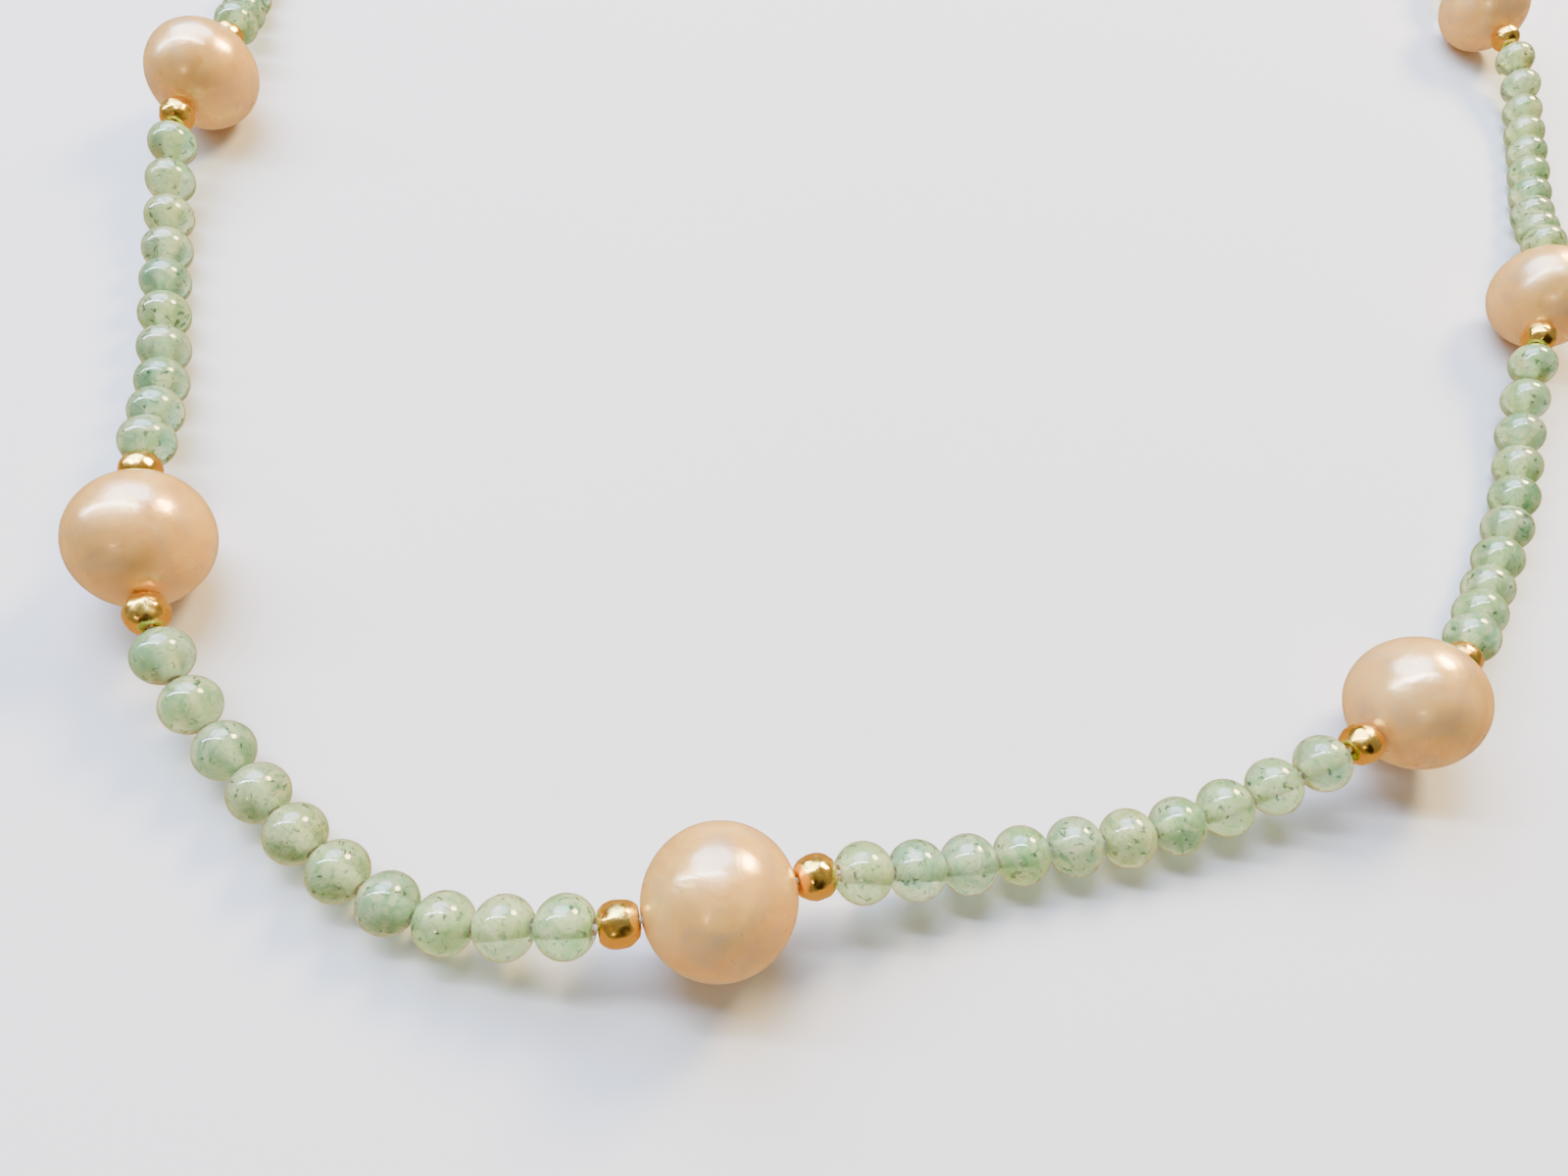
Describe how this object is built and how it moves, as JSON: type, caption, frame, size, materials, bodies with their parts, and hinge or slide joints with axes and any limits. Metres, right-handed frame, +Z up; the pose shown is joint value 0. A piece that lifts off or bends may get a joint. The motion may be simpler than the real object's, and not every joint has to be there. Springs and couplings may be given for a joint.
{
  "type": "beaded necklace",
  "caption": "Beaded necklace of large round pearls spaced by runs of small green stone rounds and gold spacers, lying open, with a plain barrel clasp at the back",
  "frame": {"origin": "under the middle of the necklace's bounding box, on the surface that it lies on", "axes": "+Z up from that surface, -Y towards the front pearl, +Y towards the clasp, +X to the right seen from the front with the front pearl nearest"},
  "size_m": [0.1512, 0.2044, 0.01],
  "materials": {
    "pearl_nacre": "high-lustre champagne-pink nacre",
    "green_aventurine": "polished, milky pale green with darker flecks",
    "polished_gold": "polished yellow gold",
    "cream_thread": "twisted cream bead cord"
  },
  "bodies": {
    "root": {"pearl_front": "pearl_nacre", "green_run_right_1": "green_aventurine", "green_run_right_2": "green_aventurine", "green_run_right_3": "green_aventurine", "green_run_right_4": "green_aventurine", "green_run_right_5": "green_aventurine", "spacer_right_1": "polished_gold", "spacer_right_2": "polished_gold", "spacer_right_3": "polished_gold", "spacer_right_4": "polished_gold", "spacer_right_5": "polished_gold", "spacer_right_6": "polished_gold", "spacer_right_7": "polished_gold", "spacer_right_8": "polished_gold", "spacer_right_9": "polished_gold", "spacer_right_10": "polished_gold", "pearl_right_1": "pearl_nacre", "pearl_right_2": "pearl_nacre", "pearl_right_3": "pearl_nacre", "pearl_right_4": "pearl_nacre", "green_run_left_1": "green_aventurine", "green_run_left_2": "green_aventurine", "green_run_left_3": "green_aventurine", "green_run_left_4": "green_aventurine", "green_run_left_5": "green_aventurine", "spacer_left_1": "polished_gold", "spacer_left_2": "polished_gold", "spacer_left_3": "polished_gold", "spacer_left_4": "polished_gold", "spacer_left_5": "polished_gold", "spacer_left_6": "polished_gold", "spacer_left_7": "polished_gold", "spacer_left_8": "polished_gold", "spacer_left_9": "polished_gold", "spacer_left_10": "polished_gold", "pearl_left_1": "pearl_nacre", "pearl_left_2": "pearl_nacre", "pearl_left_3": "pearl_nacre", "pearl_left_4": "pearl_nacre", "clasp": "polished_gold", "thread": "cream_thread"}
  },
  "joints": []
}
